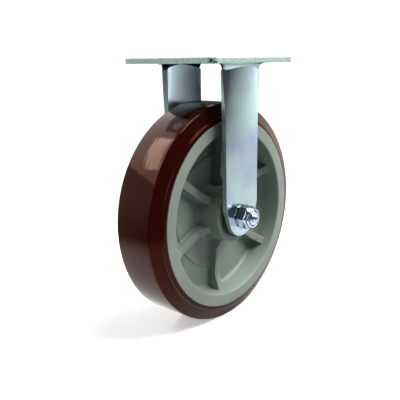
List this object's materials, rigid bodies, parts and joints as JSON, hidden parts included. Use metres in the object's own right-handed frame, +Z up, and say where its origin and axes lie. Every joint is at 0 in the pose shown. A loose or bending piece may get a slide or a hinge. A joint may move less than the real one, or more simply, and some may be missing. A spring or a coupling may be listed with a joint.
{
  "type": "fixed castor",
  "caption": "Heavy-duty fixed castor: slotted top plate, welded bowed legs, and a ribbed grey core with a maroon polyurethane tread on a roller bearing.",
  "frame": {"origin": "centre of the mounting plate's top face", "axes": "+Z up, out of the plate's top face; the wheel rolls along X; the axle lies along Y with its nut and grease fitting on the -Y side"},
  "size_m": [0.2032, 0.1038, 0.2413],
  "materials": {
    "zinc_plate": "zinc plated, satin, with a sheared edge",
    "zinc_leg": "zinc plated, bright",
    "weld": "zinc plated weld bead, rippled",
    "bolt_steel": "zinc plated, bright",
    "nut_steel": "zinc plated, bright",
    "insert": "nylon locking ring",
    "fitting_steel": "zinc plated",
    "ball_steel": "hardened, polished",
    "bearing_steel": "hardened and ground",
    "washer": "dark thrust washer",
    "cage": "moulded roller cage",
    "polyurethane": "cast polyurethane, glossy maroon",
    "core": "moulded polyolefin, grey"
  },
  "bodies": {
    "fork": {"mounting_plate": "zinc_plate", "near_leg": "zinc_leg", "far_leg": "zinc_leg", "near_outer_weld": "weld", "near_inner_weld": "weld", "far_outer_weld": "weld", "far_inner_weld": "weld", "axle_bolt": "bolt_steel", "lock_nut": "nut_steel", "nut_insert": "insert", "grease_fitting": "fitting_steel", "grease_fitting_ball": "ball_steel", "axle_bushing": "bearing_steel", "near_thrust_washer": "washer", "far_thrust_washer": "washer"},
    "wheel": {"tread": "polyurethane", "wheel_core": "core"},
    "roller_cage": {"bearing_cage": "cage"},
    "roller_1": {"bearing_roller_1": "bearing_steel"},
    "roller_2": {"bearing_roller_2": "bearing_steel"},
    "roller_3": {"bearing_roller_3": "bearing_steel"},
    "roller_4": {"bearing_roller_4": "bearing_steel"},
    "roller_5": {"bearing_roller_5": "bearing_steel"},
    "roller_6": {"bearing_roller_6": "bearing_steel"},
    "roller_7": {"bearing_roller_7": "bearing_steel"},
    "roller_8": {"bearing_roller_8": "bearing_steel"}
  },
  "joints": [
    {"name": "wheel_spin", "type": "hinge", "parent": "fork", "child": "wheel", "pos_m": [0, 0, -0.1397], "axis": [0, 1, 0], "continuous": true},
    {"name": "cage_spin", "type": "hinge", "parent": "fork", "child": "roller_cage", "pos_m": [0, 0, -0.1397], "axis": [0, 1, 0], "continuous": true},
    {"name": "roller_1_spin", "type": "hinge", "parent": "roller_cage", "child": "roller_1", "pos_m": [0.0123, 0, -0.1397], "axis": [0, 1, 0], "continuous": true},
    {"name": "roller_2_spin", "type": "hinge", "parent": "roller_cage", "child": "roller_2", "pos_m": [0.0087, 0, -0.131], "axis": [0, 1, 0], "continuous": true},
    {"name": "roller_3_spin", "type": "hinge", "parent": "roller_cage", "child": "roller_3", "pos_m": [0, 0, -0.1274], "axis": [0, 1, 0], "continuous": true},
    {"name": "roller_4_spin", "type": "hinge", "parent": "roller_cage", "child": "roller_4", "pos_m": [-0.0087, 0, -0.131], "axis": [0, 1, 0], "continuous": true},
    {"name": "roller_5_spin", "type": "hinge", "parent": "roller_cage", "child": "roller_5", "pos_m": [-0.0123, 0, -0.1397], "axis": [0, 1, 0], "continuous": true},
    {"name": "roller_6_spin", "type": "hinge", "parent": "roller_cage", "child": "roller_6", "pos_m": [-0.0087, 0, -0.1484], "axis": [0, 1, 0], "continuous": true},
    {"name": "roller_7_spin", "type": "hinge", "parent": "roller_cage", "child": "roller_7", "pos_m": [0, 0, -0.152], "axis": [0, 1, 0], "continuous": true},
    {"name": "roller_8_spin", "type": "hinge", "parent": "roller_cage", "child": "roller_8", "pos_m": [0.0087, 0, -0.1484], "axis": [0, 1, 0], "continuous": true}
  ],
  "couplings": [
    {"joint": "cage_spin", "follows": "wheel_spin", "ratio": 0.6129},
    {"joint": "roller_1_spin", "follows": "wheel_spin", "ratio": 2.1018},
    {"joint": "roller_2_spin", "follows": "wheel_spin", "ratio": 2.1018},
    {"joint": "roller_3_spin", "follows": "wheel_spin", "ratio": 2.1018},
    {"joint": "roller_4_spin", "follows": "wheel_spin", "ratio": 2.1018},
    {"joint": "roller_5_spin", "follows": "wheel_spin", "ratio": 2.1018},
    {"joint": "roller_6_spin", "follows": "wheel_spin", "ratio": 2.1018},
    {"joint": "roller_7_spin", "follows": "wheel_spin", "ratio": 2.1018},
    {"joint": "roller_8_spin", "follows": "wheel_spin", "ratio": 2.1018}
  ]
}
